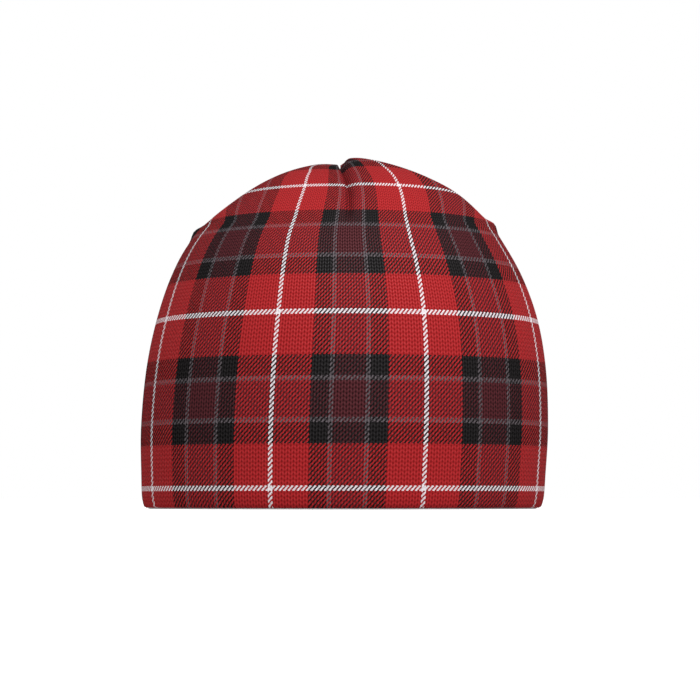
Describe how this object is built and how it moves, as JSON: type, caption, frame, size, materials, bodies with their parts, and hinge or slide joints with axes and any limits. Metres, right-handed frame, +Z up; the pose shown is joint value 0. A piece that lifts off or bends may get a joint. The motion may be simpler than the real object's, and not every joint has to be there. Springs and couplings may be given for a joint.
{
  "type": "lined knit beanie",
  "caption": "Close-fitting beanie of checked knit cloth with sewn crown darts and a white knit lining, open at the rim for the head.",
  "frame": {"origin": "middle of the rim's plane, where the hat rests on a surface, at the bottom centre of its box", "axes": "+Z up to the crown, -Y to the front of the hat, +X to the right of someone facing its front"},
  "size_m": [0.1721, 0.1818, 0.1484],
  "materials": {
    "printed_knit": "fine knit printed with a red, black, maroon and white check",
    "lining_knit": "fine white knit"
  },
  "bodies": {
    "root": {"outer_shell": "printed_knit", "lining": "lining_knit"}
  },
  "joints": []
}
